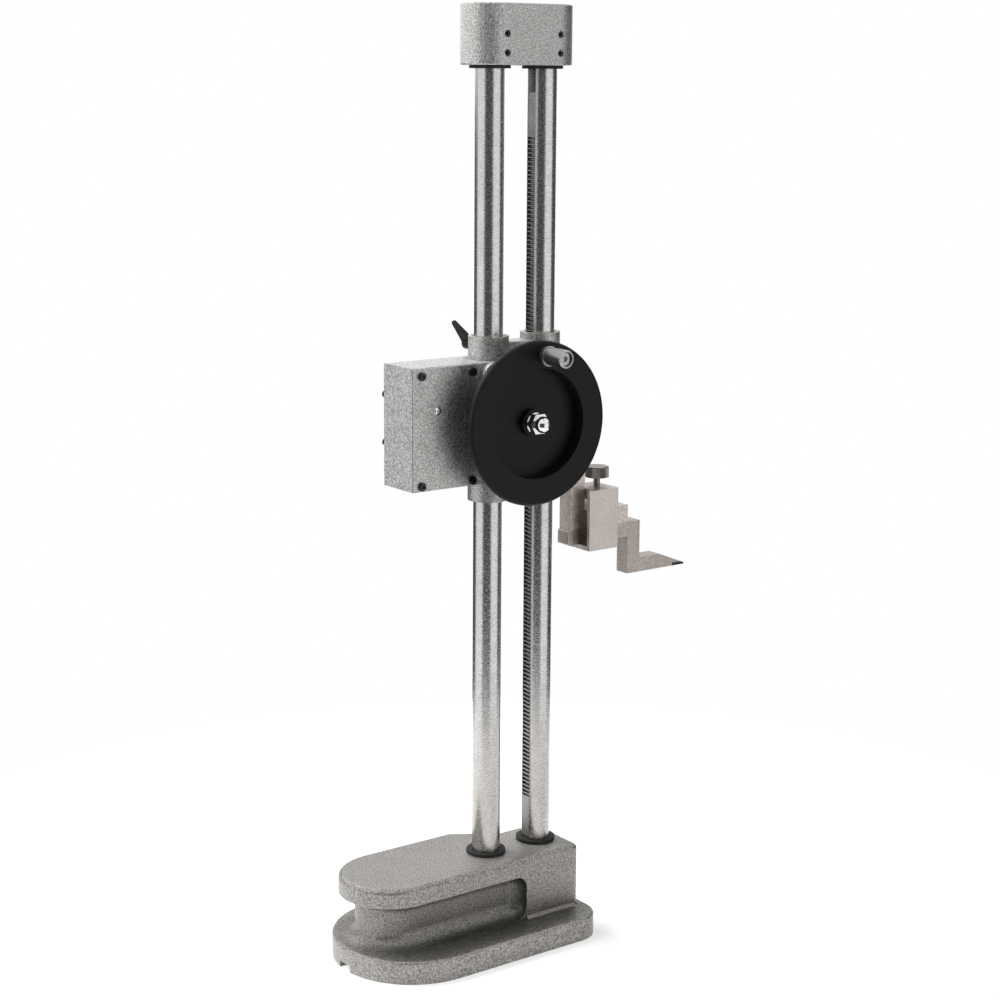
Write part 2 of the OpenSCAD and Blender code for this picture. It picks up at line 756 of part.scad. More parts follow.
// Round plate that closes the gear pocket and carries the two shafts
module gear_cover() {
    y1 = -body_half_y;
    y0 = y1 - gear_cover_t;
    color("darkgray") difference() {
        union() {
            rod_y(cover_mid_x, slider_mid_z, gear_cover_r, y0, y1);
            rod_y(crank_x, slider_mid_z, shaft_r + 2.4, y0 - 0.8, y0 + eps);
        }
        rod_y(crank_x, slider_mid_z, shaft_r + run_gap, -span, y1 + 1);
        rod_y(cross_x, slider_mid_z, cross_r + run_gap, y0 + 0.6, y1 + 1);
        for (p = gear_screw_places) {
            rod_y(p[0], p[1], thread_hole, y0 - 1, y1 + 1);
            rod_y(p[0], p[1], pan_head_r + 0.1, y0 - 1, y0 + pan_head_h + 0.2);
        }
    }
}

module gear_cover_screws() {
    y0 = -body_half_y - gear_cover_t;
    color("dimgray") for (p = gear_screw_places) difference() {
        union() {
            rod_y(p[0], p[1], pan_head_r, y0 + 0.2, y0 + pan_head_h + 0.2);
            rod_y(p[0], p[1], thread_r, y0 + 1, -body_half_y + pan_shank_l - 1);
        }
        translate([p[0], y0 - 1, p[1]]) rotate([-90, 0, 0])
            cylinder(r = thread_r, h = pan_head_h + 0.4, $fn = 6);
    }
}

// The crank's shaft, with its gear cut on it and the first train wheel behind
module crank_shaft() {
    color("silver") {
        difference() {
            union() {
                rod_y(crank_x, slider_mid_z, shaft_r, hub_y - 8.4, gear_y1);
                rod_y(crank_x, slider_mid_z, shaft_thin_r, gear_y1 - eps, train_y0 + train_w + 0.4);
                spur_gear(crank_x, slider_mid_z, crank_teeth, crank_module, gear_y0, gear_y1,
                    1, 180 / crank_teeth, 4);
                spur_gear(crank_x, slider_mid_z, train_wheel_teeth, train_module, train_y0,
                    train_y0 + train_w, 1, 90, 2);
            }
            rod_y(crank_x, slider_mid_z, 0.85, train_y0 - 1, span);
        }
    }
}

// The crank wheel: a dished disc with a heavy rim, a tapered back and a raised hub
module crank_wheel() {
    edge = rim_edge_r;
    r = wheel_d / 2;
    color("dimgray") difference() {
        turned_y(crank_x, slider_mid_z) difference() {
            polygon([[0, -wheel_face], [r, -wheel_face], [r, -wheel_face + rim_edge_t],
                [wheel_back_d / 2, wheel_y1], [0, wheel_y1]]);
            translate([0, -wheel_face - 1]) square([recess_d / 2, recess_depth + 1]);
            translate([r - edge, -wheel_face + edge]) mirror([0, 1]) corner_off(edge);
        }
        rod_y(crank_x, slider_mid_z, shaft_r, -span, 0);
        rod_y(grip_x, grip_z, grip_bore, -span, 0);
    }
    color("dimgray") difference() {
        rod_y(crank_x, slider_mid_z, hub_d / 2, hub_y, floor_y);
        rod_y(crank_x, slider_mid_z, shaft_r, -span, 0);
    }
}

module wheel_washer() {
    color("silver") difference() {
        rod_y(crank_x, slider_mid_z, nut_af / 2 + 0.6, hub_y - 1.4, hub_y);
        rod_y(crank_x, slider_mid_z, shaft_r, -span, 0);
    }
}

// Domed nut on the end of the shaft
module wheel_nut() {
    y1 = hub_y - 1.4;
    dome_r = nut_af / 2 - 1;
    color("silver") difference() {
        union() {
            translate([crank_x, y1, slider_mid_z]) rotate([90, 0, 0])
                cylinder(d = nut_af / cos(30), h = 5.6, $fn = 6);
            rod_y(crank_x, slider_mid_z, dome_r, y1 - 8, y1 - 5);
            intersection() {
                translate([crank_x, y1 - 8, slider_mid_z]) sphere(r = dome_r);
                rod_y(crank_x, slider_mid_z, span, y1 - span, y1 - 7);
            }
        }
        rod_y(crank_x, slider_mid_z, shaft_r, y1 - 7, 0);
    }
}

// Shoulder screw that the grip turns on, with a socket head in the grip's end
module crank_pin() {
    y_head = -wheel_face - grip_l + 2;
    color("silver") difference() {
        union() {
            rod_y(grip_x, grip_z, grip_bore, y_head, wheel_y1 - 2);
            rod_y(grip_x, grip_z, pin_head_r, y_head, y_head + pin_head_h);
        }
        translate([grip_x, y_head - 1, grip_z]) rotate([-90, 0, 0]) cylinder(d = 4.6, h = 3, $fn = 6);
    }
}

module crank_grip() {
    y0 = -wheel_face - grip_l;
    y1 = -wheel_face - 0.3;
    color("silver") difference() {
        turned_y(grip_x, grip_z) difference() {
            union() {
                translate([0, y0]) square([grip_d / 2, y1 - y0]);
                translate([0, y1 - 4]) square([grip_d / 2 + 0.7, 4]);
            }
            translate([grip_d / 2 - 0.8, y0 + 0.8]) mirror([0, 1]) corner_off(0.8);
        }
        rod_y(grip_x, grip_z, grip_bore + run_gap, -span, 0);
        rod_y(grip_x, grip_z, pin_head_r + 0.6, y0 - 1, y0 + 2 + pin_head_h + 0.2);
    }
}

module cross_shaft() {
    color("silver") rod_y(cross_x, slider_mid_z, cross_r, -body_half_y - gear_cover_t + 0.8, cross_y1);
}

module rack_pinion() {
    color("lightsteelblue") spur_gear(cross_x, slider_mid_z, pinion_teeth, pinion_module,
        -pinion_w / 2, pinion_w / 2, cross_r, 0, 5);
}

module cross_gear() {
    color("lightsteelblue") spur_gear(cross_x, slider_mid_z, cross_teeth, crank_module,
        gear_y0, gear_y1, cross_r, 180, 4);
}

// Brass shoe that the lock presses on the rear column
module lock_pad() {
    color("goldenrod") difference() {
        rod_y(lock_x, lock_z, 3, 0, bush_r + 1);
        translate([-half_pitch, 0, 0]) cylinder(r = column_r + 0.3, h = span);
    }
}

// Lock screw with its tapered lever
module lock_screw() {
    y0 = boss_r + 0.6;
    color("dimgray") {
        rod_y(lock_x, lock_z, 3, bush_r + 1, y0 + eps);
        rod_y(lock_x, lock_z, 4.4, y0, y0 + 7);
        translate([lock_x, y0 + 1.2, lock_z])
            rotate(a = lever_lean, v = [-sin(lever_angle), 0, cos(lever_angle)])
                along_y(0, 4) rotate(lever_angle)
                    polygon([[0, -4.1], [lever_l, -1.1], [lever_l + 1, 0], [lever_l, 1.1], [0, 4.1]]);
    }
}

// Counter box: a shell closed by the cover plate on its near side
module counter_box() {
    y0 = -body_half_y + cover_t;
    color("gainsboro") difference() {
        union() {
            difference() {
                translate([box_x0, y0, box_z0]) cube([box_l, box_y1 - y0, box_h]);
                translate([box_x0 + box_wall, y0 - 1, box_z0 + box_wall])
                    cube([box_l - 2 * box_wall, box_y1 - y0 + 1 - box_wall, box_h - 2 * box_wall]);
            }
            for (p = cover_screw_places) intersection() {
                rod_y(p[0], p[1], post_r, y0, y0 + 12);
                translate([box_x0, y0, box_z0]) cube([box_l, 12, box_h]);
            }
        }
        for (p = cover_screw_places) rod_y(p[0], p[1], thread_r, y0 - 1, y0 + pan_shank_l);
        for (z = counter_z) {
            translate([drums_x - drums_w / 2 - 1, 0, z - 5]) cube([drums_w + 2, span, 10]);
            rod_y(button_x, z, button_d / 2 + 0.08, box_y1 - box_wall - 1, span);
        }
        for (z = counter_z) translate([drums_x - drums_w / 2 - 2, box_y1 - 1.4, z - 6])
            cube([drums_w + 4, span, 12]);
    }
}

module counter_cover() {
    inset = 0.4;
    y1 = -body_half_y + cover_t;
    color("gainsboro") difference() {
        translate([box_x0 + inset, -body_half_y, box_z0 + inset])
            cube([box_l - inset, cover_t, box_h - 2 * inset]);
        for (p = cover_screw_places) rod_y(p[0], p[1], thread_hole, -body_half_y - 1, y1 + 1);
        rod_y(stud_place[0], stud_place[1], thread_hole, -body_half_y - 1, y1 + 1);
    }
}

// A pan-head screw pointing along +Y, with its socket
module pan_screw(x, z, head_r, head_h, shank_l) {
    y0 = -body_half_y;
    difference() {
        turned_y(x, z) union() {
            translate([0, y0 - head_h]) square([head_r - 0.7, head_h]);
            translate([0, y0 - head_h + 0.7]) square([head_r, head_h - 0.7]);
            translate([0, y0 - eps]) square([thread_r, shank_l]);
        }
        translate([x, y0 - head_h - 1, z]) rotate([-90, 0, 0]) cylinder(d = 2.6, h = 2.2, $fn = 6);
    }
}

module cover_screws() {
    color("dimgray") for (p = cover_screw_places) pan_screw(p[0], p[1], pan_head_r, pan_head_h, pan_shank_l);
}

module cover_stud() {
    color("silver") pan_screw(stud_place[0], stud_place[1], 2.9, 1.8, 6);
}

// Sheet brackets that carry the number wheels
module counter_frames() {
    plate = 1.2;
    x0 = drums_x - drums_w / 2 - 0.5 - plate;
    x1 = drums_x + drums_w / 2 + 0.5;
    y0 = drum_y - drum_r - 1 - plate;
    y1 = box_y1 - box_wall;
    color("silver") for (z = counter_z) difference() {
        union() {
            translate([x0, y0, z - 6.5]) cube([plate, y1 - y0, 13]);
            translate([x1, y0, z - 6.5]) cube([plate, y1 - y0, 13]);
            translate([x0, y0, z - 6.5]) cube([x1 - x0 + plate, plate, 13]);
        }
        translate([x0 - 1, drum_y, z]) rotate([0, 90, 0]) cylinder(r = drum_axle_r, h = drums_w + 6);
    }
}

module counter_axles() {
    l = drums_w + 2 * 2.2;
    color("silver") for (z = counter_z)
        translate([drums_x - l / 2, drum_y, z]) rotate([0, 90, 0]) cylinder(r = drum_axle_r, h = l);
}

module counter_windows() {
    color([0.8, 0.9, 0.95, 0.4]) for (z = counter_z)
        translate([drums_x - drums_w / 2 - 2, box_y1 - 1.4, z - 6]) cube([drums_w + 4, 1.2, 12]);
}

// One number wheel, place 0 being the units at the end towards -X
module number_wheel(z, place) {
    x = drums_x - drums_w / 2 + place * (drum_w + drum_gap);
    color("whitesmoke") translate([x, drum_y, z]) rotate([0, 90, 0]) difference() {
        cylinder(r = drum_r, h = drum_w);
        translate([0, 0, -1]) cylinder(r = drum_axle_r + run_gap, h = drum_w + 2);
        translate([0, 0, drum_w - 1]) difference() {
            cylinder(r = drum_r - 1.5, h = 2);
            translate([0, 0, -1]) cylinder(r = drum_axle_r + 1.5, h = 4);
        }
    }
}

module zero_button(z) {
    color("dimgray") turned_y(button_x, z) union() {
        translate([0, box_y1 - box_wall - 6]) square([button_d / 2, box_wall + 6 + button_proud - 0.6]);
        translate([0, box_y1 + button_proud - 0.7]) square([button_d / 2 - 0.6, 0.7]);
    }
}

// Dial casing: a cup on the slider's reading side
module dial_casing() {
    color("gainsboro") difference() {
        rod_y(crank_x, slider_mid_z, casing_r, casing_y0, casing_y1);
        rod_y(crank_x, slider_mid_z, casing_r - casing_wall, casing_y0 + casing_floor, span);
        rod_y(crank_x, slider_mid_z, shaft_thin_r + 0.3, 0, span);
        rod_y(crank_x, slider_mid_z + train_rise, arbor_r + run_gap, casing_y0 + 0.5, span);
    }
}

// Plate on three legs that carries the front ends of the arbors
module train_bridge() {
    plate_r = casing_r - casing_wall;
    leg_place = plate_r - 3.5;
    color("goldenrod") difference() {
        union() {
            rod_y(crank_x, slider_mid_z, plate_r, bridge_y0, bridge_y0 + bridge_t);
            for (a = [150, 270, 30]) rod_y(crank_x + leg_place * cos(a), slider_mid_z + leg_place * sin(a),
                2.2, casing_y0 + casing_floor, bridge_y0 + eps);
        }
        rod_y(crank_x, slider_mid_z, arbor_r + run_gap, 0, span);
        rod_y(crank_x, slider_mid_z + train_rise, arbor_r + run_gap, 0, span);
    }
}

module middle_arbor() {
    z = slider_mid_z + train_rise;
    color("goldenrod") {
        rod_y(crank_x, z, arbor_r, casing_y0 + 0.7, bridge_y0 + bridge_t);
        spur_gear(crank_x, z, train_pinion_teeth, train_module, train_y0 - 0.3, train_y1 - 0.5,
            0.5, 180 / train_pinion_teeth, 3);
        spur_gear(crank_x, z, train_wheel_teeth, hand_module, train_y1, train_y1 + train_w, 0.5, 270, 2);
    }
}

// The hand's arbor runs in the end of the crank shaft and in the bridge
module hand_arbor() {
    color("goldenrod") {
        rod_y(crank_x, slider_mid_z, 0.8, train_y0 - 0.6, train_y0 + train_w + 0.8);
        rod_y(crank_x, slider_mid_z, arbor_r, train_y0 + train_w + 0.7, hand_y0 + hand_t + 0.6);
        spur_gear(crank_x, slider_mid_z, hand_pinion_teeth, hand_module, train_y1 - 0.3,
            train_y1 + train_w + 0.3, 0.5, 90 - 180 / hand_pinion_teeth, 3);
    }
}

module dial_hand() {
    color("black") translate([crank_x, 0, slider_mid_z]) along_y(hand_y0, hand_y0 + hand_t)
        difference() {
            union() {
                circle(r = 3.2);
                polygon([[-1.3, -8], [1.3, -8], [0.9, 0], [0.25, hand_l], [-0.25, hand_l], [-0.9, 0]]);
            }
            circle(r = arbor_r);
        }
}

module dial_face() {
    color("white") difference() {
        rod_y(crank_x, slider_mid_z, crystal_r, face_y0, face_y0 + face_t);
        rod_y(crank_x, slider_mid_z, arbor_r + 1, 0, span);
    }
}

// Bezel: a grooved ring that turns on the casing and holds the face and the crystal
module bezel() {
    scallops = 36;
    r = bezel_d / 2;
    color("silver") difference() {
        turned_y(crank_x, slider_mid_z) difference() {
            translate([crystal_r - 3, bezel_y0]) square([r - crystal_r + 3, bezel_y1 - bezel_y0]);
            translate([0, bezel_y0 - 1]) square([casing_r + 0.08, casing_y1 + 0.3 - bezel_y0 + 1]);
            translate([0, bezel_y0]) square([crystal_r, crystal_y0 + crystal_t - bezel_y0]);
            translate([r - 1.5, bezel_y1 - 1.5]) corner_off(1.5);
        }
        for (i = [0:scallops - 1]) {
            a = i * 360 / scallops;
            rod_y(crank_x + (r + 0.7) * cos(a), slider_mid_z + (r + 0.7) * sin(a), 1.3,
                bezel_y0 - 1, bezel_y1 - 2);
        }
    }
}

module crystal() {
    color([0.8, 0.9, 0.95, 0.4])
        rod_y(crank_x, slider_mid_z, crystal_r, crystal_y0, crystal_y0 + crystal_t);
}

// The jaw: an upright screwed to the slider's lug, and the bar that carries the scriber
module jaw() {
    upright_h = jaw_drop + 20;
    color("silver") difference() {
        translate([0, jaw_w / 2, 0]) rotate([90, 0, 0]) linear_extrude(jaw_w) difference() {
            union() {
                translate([jaw_x, jaw_z0]) square([jaw_t, upright_h]);
                translate([jaw_x, jaw_z0]) square([jaw_l, jaw_h]);
                translate([jaw_x + jaw_t, jaw_z0 + jaw_h]) corner_fill(2);
            }
        }
        for (level = [-1, 1]) translate([jaw_x, 0, slider_mid_z - 2 + level * 16]) rotate([0, 90, 0]) {
            translate([0, 0, -1]) cylinder(r = 2.7, h = jaw_t + 2);
            translate([0, 0, jaw_t - 5.5]) cylinder(r = 4.6, h = 6);
        }
    }
}

module jaw_screws() {
    color("dimgray") for (level = [-1, 1])
        translate([jaw_x, 0, slider_mid_z - 2 + level * 16]) rotate([0, 90, 0]) difference() {
            union() {
                translate([0, 0, -7.5]) cylinder(r = 2.5, h = jaw_t + 7.5 - 5);
                translate([0, 0, jaw_t - 5.5]) cylinder(r = 4.25, h = 5);
            }
            translate([0, 0, jaw_t - 3]) cylinder(d = 4.6, h = 4, $fn = 6);
        }
}

// Outline of the scriber with its tip, in X and Z
module scriber_outline() {
    edge_h = 1.2;
    polygon([[shank_x + 1.2, shank_z0], [leg_x0, shank_z0], [leg_x0, scriber_z0],
        [leg_x1 + nose_l, scriber_z0], [leg_x1 + nose_l, scriber_z0 + edge_h],
        [leg_x1 + nose_l - bevel_l, scriber_z0 + nose_h], [leg_x1, scriber_z0 + nose_h],
        [leg_x1, jaw_z0], [shank_x + 1.2, jaw_z0], [shank_x, jaw_z0 - 1.2], [shank_x, shank_z0 + 1.2]]);
}

// Room that the carbide tip takes at the end of the nose
module tip_room() {
    translate([leg_x1 + nose_l - tip_l, scriber_z0]) square([tip_l, 2.4]);
}

module scriber() {
    color("silver") along_y(-scriber_w / 2, scriber_w / 2) difference() {
        scriber_outline();
        tip_room();
    }
}

module carbide_tip() {
    color("dimgray") along_y(-scriber_w / 2, scriber_w / 2) intersection() {
        scriber_outline();
        tip_room();
    }
}

// Clamp frame round the jaw bar and the scriber's shank
module clamp_frame() {
    far_r = 8;
    color("silver") difference() {
        translate([clamp_x, 0, 0]) rotate([90, 0, 90]) linear_extrude(clamp_l) difference() {
            translate([-clamp_w / 2, clamp_z0]) square([clamp_w, clamp_h]);
            translate([clamp_w / 2 - far_r, clamp_z1 - far_r]) corner_off(far_r);
            translate([clamp_w / 2 - far_r, clamp_z0 + far_r]) mirror([0, 1]) corner_off(far_r);
            translate([-clamp_w / 2 + clamp_side, clamp_z0 + clamp_low]) difference() {
                square([clamp_w - 2 * clamp_side, clamp_h - clamp_low - clamp_up]);
                translate([clamp_w - 2 * clamp_side, 0]) mirror([1, 0]) corner_fill(far_r - clamp_side);
            }
        }
        translate([thumb_x, 0, jaw_z0]) cylinder(r = 2.5 + run_gap, h = span);
        translate([clamp_x - 1, -clamp_w / 2 + clamp_side, clamp_z0 + clamp_low + far_r])
            cube([jaw_x + jaw_t + 0.5 - clamp_x + 1, clamp_w - 2 * clamp_side, clamp_h]);
    }
}

// Knurled thumb screw that presses on the jaw bar
module thumb_screw() {
    flutes = 40;
    knob_z = clamp_z1 + thumb_gap;
    color("dimgray") translate([thumb_x, 0, 0]) {
        translate([0, 0, jaw_z0 + jaw_h]) cylinder(r = 2.5, h = knob_z - jaw_z0 - jaw_h + eps);
        translate([0, 0, knob_z]) linear_extrude(thumb_h)
            polygon([for (i = [0:2 * flutes - 1])
                let (r = thumb_d / 2 - (i % 2) * 0.5) [r * cos(i * 180 / flutes), r * sin(i * 180 / flutes)]]);
        translate([0, 0, knob_z + thumb_h - eps]) cylinder(d = thumb_d - 2, h = 0.5);
    }
}

base_casting();
rear_column();
front_column();
rack();
base_rings();
cap_rings();
column_cap();
cap_grub_screws();
column_bolts();
slider_casting();
guide_bushes();
gear_cover();
gear_cover_screws();
crank_shaft();
crank_wheel();
wheel_washer();
wheel_nut();
crank_pin();
crank_grip();
cross_shaft();
rack_pinion();
cross_gear();
lock_pad();
lock_screw();
counter_box();
counter_cover();
cover_screws();
cover_stud();
counter_frames();
counter_axles();
counter_windows();
number_wheel(counter_z[0], 0);  // upper_units
number_wheel(counter_z[0], 1);  // upper_tens
number_wheel(counter_z[0], 2);  // upper_hundreds
number_wheel(counter_z[1], 0);  // lower_units
number_wheel(counter_z[1], 1);  // lower_tens
number_wheel(counter_z[1], 2);  // lower_hundreds
zero_button(counter_z[0]);  // upper_button
zero_button(counter_z[1]);  // lower_button
dial_casing();
train_bridge();
middle_arbor();
hand_arbor();
dial_hand();
dial_face();
bezel();
crystal();
jaw();
jaw_screws();
scriber();
carbide_tip();
clamp_frame();
thumb_screw();
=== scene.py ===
import json
import math

import bmesh
import bpy
from mathutils import Matrix, Vector

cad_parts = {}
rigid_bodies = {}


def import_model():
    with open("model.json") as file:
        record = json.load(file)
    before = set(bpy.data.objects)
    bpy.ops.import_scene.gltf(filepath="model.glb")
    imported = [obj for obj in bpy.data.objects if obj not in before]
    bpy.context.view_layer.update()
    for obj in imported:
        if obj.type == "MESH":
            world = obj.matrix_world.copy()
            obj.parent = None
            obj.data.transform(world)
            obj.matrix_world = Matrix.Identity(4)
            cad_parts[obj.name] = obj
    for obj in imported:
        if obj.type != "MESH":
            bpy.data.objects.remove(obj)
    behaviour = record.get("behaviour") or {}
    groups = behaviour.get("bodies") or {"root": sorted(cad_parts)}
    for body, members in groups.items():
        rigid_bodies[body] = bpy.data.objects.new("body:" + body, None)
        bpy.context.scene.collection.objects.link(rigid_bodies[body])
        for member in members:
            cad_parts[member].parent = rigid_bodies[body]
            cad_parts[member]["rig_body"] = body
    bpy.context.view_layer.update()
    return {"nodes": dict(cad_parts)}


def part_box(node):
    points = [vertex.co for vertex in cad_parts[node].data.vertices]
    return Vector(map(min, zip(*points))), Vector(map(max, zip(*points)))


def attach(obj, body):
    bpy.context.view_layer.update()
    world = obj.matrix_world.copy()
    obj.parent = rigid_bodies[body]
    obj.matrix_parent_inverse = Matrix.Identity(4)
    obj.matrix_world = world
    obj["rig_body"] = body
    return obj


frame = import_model()
nodes = frame["nodes"]


# Base
# One heavy iron casting: foot flange, hand block with its finger groove, and the neck.
# It is sprayed with a grey texture paint whose grain stands about a millimetre across, and its
# hollows carry painted shade that darkens them.


def start_finish(name):
    """A new finish: its material, node tree, shader, and the coordinates its grain follows."""
    finish = bpy.data.materials.new(name)
    finish.use_nodes = True
    tree = finish.node_tree
    place = tree.nodes.new("ShaderNodeTexCoord").outputs["Object"]
    return finish, tree, tree.nodes["Principled BSDF"], place


def grain(tree, place, size, detail=2.0, stretch=(1, 1, 1)):
    """Noise with grains `size` metres across where stretch is 1, and longer where it is less."""
    mapping = tree.nodes.new("ShaderNodeMapping")
    mapping.inputs["Scale"].default_value = [s / size for s in stretch]
    noise = tree.nodes.new("ShaderNodeTexNoise")
    noise.inputs["Scale"].default_value = 1
    noise.inputs["Detail"].default_value = detail
    tree.links.new(place, mapping.inputs["Vector"])
    tree.links.new(mapping.outputs["Vector"], noise.inputs["Vector"])
    return noise.outputs["Fac"]


def tone(tree, value, *stops):
    """Turns a grain into a colour, through stops of (value, colour)."""
    ramp = tree.nodes.new("ShaderNodeValToRGB")
    marks = ramp.color_ramp.elements
    while len(marks) < len(stops):
        marks.new(0.5)
    for mark, (at, colour) in zip(marks, stops):
        mark.position = at
        mark.color = (*colour, 1)
    tree.links.new(value, ramp.inputs["Fac"])
    return ramp.outputs["Color"]


def tint(colour, by):
    """A colour made darker or paler by a factor."""
    return tuple(min(1, c * by) for c in colour)


def layer(tree, under, over, how="MULTIPLY"):
    """One colour laid over another."""
    mix = tree.nodes.new("ShaderNodeMix")
    mix.data_type = "RGBA"
    mix.blend_type = how
    mix.inputs["Factor"].default_value = 1
    tree.links.new(under, mix.inputs["A"])
    tree.links.new(over, mix.inputs["B"])
    return mix.outputs["Result"]


grain_low, grain_high = 0.3, 0.7


def dull(tree, shader, value, low, high):
    """Lets the roughness follow a grain, between low and high."""
    spread = tree.nodes.new("ShaderNodeMapRange")
    spread.inputs["From Min"].default_value = grain_low
    spread.inputs["From Max"].default_value = grain_high
    spread.inputs["To Min"].default_value = low
    spread.inputs["To Max"].default_value = high
    tree.links.new(value, spread.inputs["Value"])
    tree.links.new(spread.outputs["Result"], shader.inputs["Roughness"])


def emboss(tree, shader, height, depth):
    """Raises a grain by `depth` metres."""
    bump = tree.nodes.new("ShaderNodeBump")
    bump.inputs["Strength"].default_value = 1
    bump.inputs["Distance"].default_value = depth
    tree.links.new(height, bump.inputs["Height"])
    tree.links.new(bump.outputs["Normal"], shader.inputs["Normal"])


paint_grain = 0.0011
paint_cloud = 0.014
paint_relief = 0.00018
paint_dull = (0.32, 0.5)
speck_low, speck_high = 0.36, 0.64
flake_share = 0.72
hidden_below, open_above = 0.4, 0.95


def texture_paint(name, colour, speck, reach, hollow_shade):
    """Sprayed silver-grey paint: metal flakes, a fine speckle and an orange-peel surface.
    Its hollows `reach` deep are darkened as painted shade, down to the given share."""
    finish, tree, shader, place = start_finish(name)
    specks = grain(tree, place, paint_grain, detail=3)
    clouds = grain(tree, place, paint_cloud, detail=2)
    speckle = tone(tree, specks, (speck_low, tint(colour, 1 - speck)), (0.5, colour),
                   (speck_high, tint(colour, 1 + speck)))
    drift = tone(tree, clouds, (grain_low, (0.93, 0.93, 0.935)), (grain_high, (1, 1, 1)))
    # Painted shade: ambient occlusion from the part itself darkens the colour in its hollows.
    hollow = tree.nodes.new("ShaderNodeAmbientOcclusion")
    hollow.samples = 8
    hollow.only_local = True
    hollow.inputs["Distance"].default_value = reach
    painted_shade = tone(tree, hollow.outputs["AO"], (hidden_below, (hollow_shade, hollow_shade, hollow_shade)),
                  (open_above, (1, 1, 1)))
    paint = layer(tree, layer(tree, speckle, drift), painted_shade)
    tree.links.new(paint, shader.inputs["Base Color"])
    dull(tree, shader, specks, *paint_dull)
    emboss(tree, shader, specks, paint_relief)
    shader.inputs["Metallic"].default_value = flake_share
    shader.inputs["Specular IOR Level"].default_value = 0.2
    return finish


def give(finish, *names):
    """Puts one finish on CAD nodes."""
    for name in names:
        for slot in nodes[name].material_slots:
            slot.material = finish


# Painted shade darkens the base's hollows up to 50 mm deep, down to 0.4 of its colour.
base_paint = texture_paint("base_paint", (0.325, 0.315, 0.297), speck=0.5, reach=0.05,
                           hollow_shade=0.4)
give(base_paint, "base_casting")


# Columns and rack
# Two ground and hard-chromed steel bars, bolted up from below, their colour a little darker at the
# foot. The front one has a milled slot with the hardened rack let into it.


darkest_below, plain_above = 0.11, 0.22
stain_size = 0.012


def turned_metal(name, colour, low, high, size, depth, stretch=(1, 1, 1), stain=0.08,
                 mark=0.09, foot=None):
    """Bare metal with tool marks `size` apart, which run along the axes with a small stretch.
    `low` and `high` are its roughness, and `foot` tints the colour darker towards the bottom."""
    finish, tree, shader, place = start_finish(name)
    marks = grain(tree, place, size, detail=3, stretch=stretch)
    clouds = grain(tree, place, stain_size, detail=3)
    scratch = tone(tree, marks, (0.34, tint(colour, 1 - mark)), (0.66, tint(colour, 1 + mark)))
    film = tone(tree, clouds, (0.34, tint((1, 1, 1), 1 - stain)), (0.66, (1, 1, 1)))
    metal = layer(tree, scratch, film)
    if foot:
        # The colour turns darker towards the bottom, down to the tint `foot`.
        height = tree.nodes.new("ShaderNodeSeparateXYZ")
        tree.links.new(place, height.inputs[0])
        lower_darkening = tone(tree, height.outputs["Z"], (darkest_below, foot), (plain_above, (1, 1, 1)))
        metal = layer(tree, metal, lower_darkening)
    tree.links.new(metal, shader.inputs["Base Color"])
    shader.inputs["Metallic"].default_value = 1
    dull(tree, shader, marks, low, high)
    emboss(tree, shader, marks, depth)
    return finish


ground_steel = turned_metal("ground_steel", (0.64, 0.64, 0.635), low=0.19, high=0.31,
                            size=0.0009, depth=0.000006, stretch=(0.4, 0.4, 1), mark=0.17,
                            foot=(0.75, 0.715, 0.695))
rack_steel = turned_metal("rack_steel", (0.33, 0.325, 0.315), low=0.25, high=0.42,
                          size=0.0005, depth=0.00001, stretch=(1, 0.06, 1), stain=0.25)
give(ground_steel, "rear_column", "front_column")
give(rack_steel, "rack")


# Rubber rings and column screws
# Soft stops of black rubber at both ends of the columns, and the blackened socket screws that
# hold the columns: two from below, and four grub screws in the cap.


dust_size = 0.009


def matt_black(name, colour, low, high, size, depth, metal=0.0, gloss=0.5):
    """A black surface: rubber, blackened steel or moulded plastic, with a little dust."""
    finish, tree, shader, place = start_finish(name)
    specks = grain(tree, place, size, detail=3)
    dust = grain(tree, place, dust_size, detail=4)
    body = tone(tree, specks, (grain_low, tint(colour, 0.8)), (grain_high, tint(colour, 1.25)))
    bloom = tone(tree, dust, (0.45, (0, 0, 0)), (0.75, tint(colour, 0.55)))
    tree.links.new(layer(tree, body, bloom, "ADD"), shader.inputs["Base Color"])
    shader.inputs["Metallic"].default_value = metal
    shader.inputs["Specular IOR Level"].default_value = gloss
    dull(tree, shader, dust, low, high)
    emboss(tree, shader, specks, depth)
    return finish


black_rubber = matt_black("black_rubber", (0.012, 0.012, 0.012), low=0.55, high=0.8,
                          size=0.0007, depth=0.00004)
black_oxide = matt_black("black_oxide", (0.055, 0.054, 0.052), low=0.28, high=0.5,
                         size=0.0005, depth=0.000012, metal=1.0)
give(black_rubber, "base_rings", "cap_rings")
give(black_oxide, "column_bolts", "cap_grub_screws")


# Cap
# A small casting that ties the columns' upper ends together, in the lighter grey of the slider.
# Two grub screws hold it on each column.
# Painted shade darkens this paint's small hollows, 8 mm deep, down to 0.7 of its colour.
light_paint = texture_paint("light_paint", (0.53, 0.525, 0.515), speck=0.42, reach=0.008,
                            hollow_shade=0.7)
give(light_paint, "column_cap")


# Slider, its bushes and its lock
# The slider's casting runs on the columns in four bronze bushes. A lever screw on the dial side
# presses a bronze shoe on the rear column.
bronze = turned_metal("bronze", (0.30, 0.20, 0.095), low=0.24, high=0.42, size=0.0005,
                      depth=0.000008, stretch=(0.1, 0.1, 1))
give(light_paint, "slider_casting")
give(bronze, "guide_bushes", "lock_pad")
give(black_oxide, "lock_screw")


# Gears behind the wheel
# The crank shaft drives the cross shaft, whose pinion climbs the rack. A round cover with three
# flush screws closes the pocket and carries both shafts.
give(light_paint, "gear_cover")
give(black_oxide, "gear_cover_screws")
give(ground_steel, "crank_shaft", "cross_shaft")
give(rack_steel, "rack_pinion", "cross_gear")


